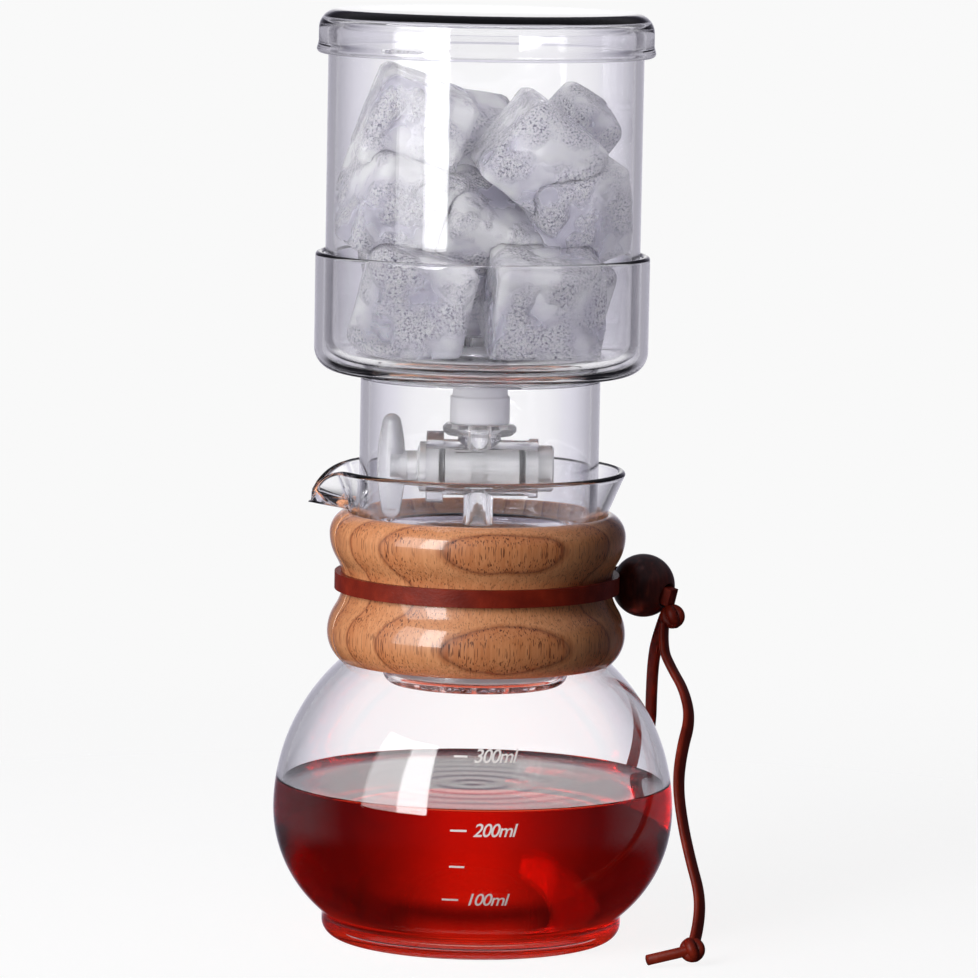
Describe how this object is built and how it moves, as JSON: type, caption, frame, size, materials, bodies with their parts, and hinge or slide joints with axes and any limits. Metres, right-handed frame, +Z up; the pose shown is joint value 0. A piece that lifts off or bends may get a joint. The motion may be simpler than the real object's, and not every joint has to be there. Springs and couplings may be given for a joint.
{
  "type": "cold drip coffee tower",
  "caption": "Cold drip coffee maker: lidded glass ice jar with a stopcock, on a glass brew cup, on a spouted carafe with a two-part wooden collar tied by a beaded leather lace.",
  "frame": {"origin": "centre of the carafe's base ring, on the surface it stands on", "axes": "+Z up along the tower's axis, -X towards the pouring spout, -Y towards the front of the graduated side"},
  "size_m": [0.1104, 0.1024, 0.2369],
  "materials": {
    "clear_glass": "clear",
    "coffee": "clear dark red liquid",
    "collar_wood": "oiled",
    "bead_wood": "polished dark wood",
    "lace_leather": "smooth",
    "filter_steel": "satin",
    "plug_rubber": "frosted silicone",
    "valve_plastic": "clear",
    "cock_plastic": "milky",
    "seal_rubber": "matte",
    "lever_plastic": "satin grey",
    "ice": "wet clear ice"
  },
  "bodies": {
    "carafe": {"carafe_base": "clear_glass", "carafe_bulb": "clear_glass", "carafe_neck": "clear_glass", "brewed_coffee": "coffee", "collar_front": "collar_wood", "collar_back": "collar_wood", "bead": "bead_wood", "leather_band": "lace_leather", "tie_knot": "lace_leather", "tail_front": "lace_leather", "end_knot_front": "lace_leather", "tail_back": "lace_leather", "end_knot_back": "lace_leather"},
    "brew_cup": {"cup_floor": "clear_glass", "cup_basket": "clear_glass", "cup_tube": "clear_glass", "cup_tray": "clear_glass", "filter_ring": "filter_steel", "filter_screen": "filter_steel"},
    "ice_jar": {"ice_jar": "clear_glass", "jar_plug": "plug_rubber", "valve_body": "valve_plastic", "ice_cube_01": "ice", "ice_cube_02": "ice", "ice_cube_03": "ice", "ice_cube_04": "ice", "ice_cube_05": "ice", "ice_cube_06": "ice", "ice_cube_07": "ice", "ice_cube_08": "ice", "ice_cube_09": "ice", "ice_cube_10": "ice", "ice_cube_11": "ice", "ice_cube_12": "ice"},
    "lid": {"lid": "clear_glass"},
    "cock": {"valve_cock": "cock_plastic", "cock_seals": "seal_rubber", "retaining_cap": "cock_plastic", "lever_handle": "lever_plastic"}
  },
  "joints": [
    {"name": "cup_lift", "type": "slide", "parent": "carafe", "child": "brew_cup", "axis": [0, 0, 1], "range_m": [0, 0.06]},
    {"name": "jar_lift", "type": "slide", "parent": "brew_cup", "child": "ice_jar", "axis": [0, 0, 1], "range_m": [0, 0.075]},
    {"name": "lid_lift", "type": "slide", "parent": "ice_jar", "child": "lid", "axis": [0, 0, 1], "range_m": [0, 0.02]},
    {"name": "cock_turn", "type": "hinge", "parent": "ice_jar", "child": "cock", "pos_m": [0, 0, 0.12099], "axis": [1, 0, 0], "range_deg": [0, 90]}
  ]
}
